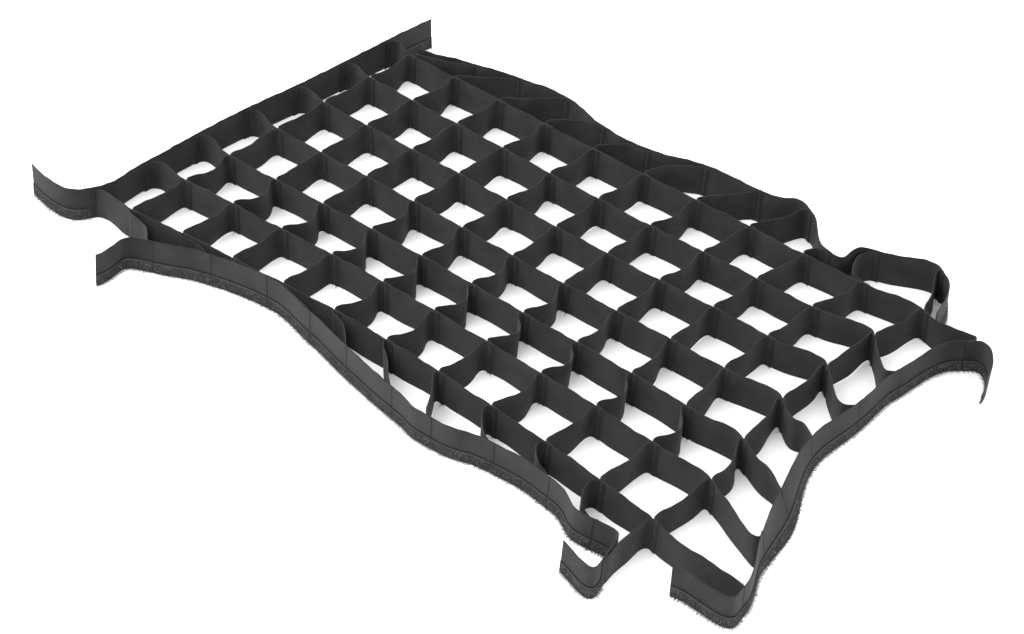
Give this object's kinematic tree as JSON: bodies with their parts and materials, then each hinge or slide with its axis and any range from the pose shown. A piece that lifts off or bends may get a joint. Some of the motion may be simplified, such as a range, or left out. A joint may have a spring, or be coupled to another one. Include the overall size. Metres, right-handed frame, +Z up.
{
  "type": "softbox fabric grid",
  "caption": "Rectangular fabric grid for a photographic softbox: webbing on edge sewn into square cells, with hook tape on the border bands and loose corner tails.",
  "frame": {"origin": "middle of the bounding box in plan, on the surface that the grid lies on", "axes": "+X along the long strips, +Y along the cross webs away from the front border band, +Z up, across the width of the webbing"},
  "size_m": [1.0324, 0.6563, 0.043],
  "materials": {
    "webbing": "matt woven nylon webbing, black with a fine diagonal rib",
    "hook_tape": "bristly black hook tape, dull",
    "thread": "black polyester sewing thread"
  },
  "bodies": {
    "grid": {"long_strip_1": "webbing", "long_strip_2": "webbing", "long_strip_3": "webbing", "long_strip_4": "webbing", "long_strip_5": "webbing", "long_strip_6": "webbing", "long_strip_7": "webbing", "cross_webs_1": "webbing", "cross_webs_2": "webbing", "cross_webs_3": "webbing", "cross_webs_4": "webbing", "cross_webs_5": "webbing", "cross_webs_6": "webbing", "cross_webs_7": "webbing", "cross_webs_8": "webbing", "cross_webs_9": "webbing", "cross_webs_10": "webbing", "cross_webs_11": "webbing", "front_band": "webbing", "front_band_hook_tape": "hook_tape", "back_band": "webbing", "back_band_hook_tape": "hook_tape", "left_band": "webbing", "left_band_hook_tape": "hook_tape", "right_band": "webbing", "right_band_hook_tape": "hook_tape", "long_strip_1_stitching": "thread", "long_strip_2_stitching": "thread", "long_strip_3_stitching": "thread", "long_strip_4_stitching": "thread", "long_strip_5_stitching": "thread", "long_strip_6_stitching": "thread", "long_strip_7_stitching": "thread", "front_band_stitching": "thread", "back_band_stitching": "thread", "left_band_stitching": "thread", "right_band_stitching": "thread"},
    "front_band_left_tail": {"front_band_left_tail": "webbing", "front_band_left_tail_hook_tape": "hook_tape"},
    "front_band_right_tail": {"front_band_right_tail": "webbing", "front_band_right_tail_hook_tape": "hook_tape"},
    "back_band_left_tail": {"back_band_left_tail": "webbing", "back_band_left_tail_hook_tape": "hook_tape"},
    "back_band_right_tail": {"back_band_right_tail": "webbing", "back_band_right_tail_hook_tape": "hook_tape"},
    "left_band_front_tail": {"left_band_front_tail": "webbing", "left_band_front_tail_hook_tape": "hook_tape"},
    "left_band_back_tail": {"left_band_back_tail": "webbing", "left_band_back_tail_hook_tape": "hook_tape"},
    "right_band_front_tail": {"right_band_front_tail": "webbing", "right_band_front_tail_hook_tape": "hook_tape"},
    "right_band_back_tail": {"right_band_back_tail": "webbing", "right_band_back_tail_hook_tape": "hook_tape"}
  },
  "joints": [
    {"name": "front_band_left_tail_bend", "type": "hinge", "parent": "grid", "child": "front_band_left_tail", "pos_m": [-0.30703, -0.26117, 0.023], "axis": [0, 0, 1], "range_deg": [-50, 45]},
    {"name": "front_band_right_tail_bend", "type": "hinge", "parent": "grid", "child": "front_band_right_tail", "pos_m": [0.38938, -0.31219, 0.023], "axis": [0, 0, 1], "range_deg": [-45, 45]},
    {"name": "back_band_left_tail_bend", "type": "hinge", "parent": "grid", "child": "back_band_left_tail", "pos_m": [-0.29998, 0.27718, 0.023], "axis": [0, 0, 1], "range_deg": [-30, 5]},
    {"name": "back_band_right_tail_bend", "type": "hinge", "parent": "grid", "child": "back_band_right_tail", "pos_m": [0.38936, 0.31495, 0.023], "axis": [0, 0, 1], "range_deg": [0, 45]},
    {"name": "left_band_front_tail_bend", "type": "hinge", "parent": "grid", "child": "left_band_front_tail", "pos_m": [-0.4322, -0.24116, 0.023], "axis": [0, 0, 1], "range_deg": [-50, 50]},
    {"name": "left_band_back_tail_bend", "type": "hinge", "parent": "grid", "child": "left_band_back_tail", "pos_m": [-0.40882, 0.25403, 0.023], "axis": [0, 0, 1], "range_deg": [-25, 50]},
    {"name": "right_band_front_tail_bend", "type": "hinge", "parent": "grid", "child": "right_band_front_tail", "pos_m": [0.51367, -0.25389, 0.023], "axis": [0, 0, 1], "range_deg": [-15, 45]},
    {"name": "right_band_back_tail_bend", "type": "hinge", "parent": "grid", "child": "right_band_back_tail", "pos_m": [0.47425, 0.23339, 0.023], "axis": [0, 0, 1], "range_deg": [-45, 40]}
  ]
}
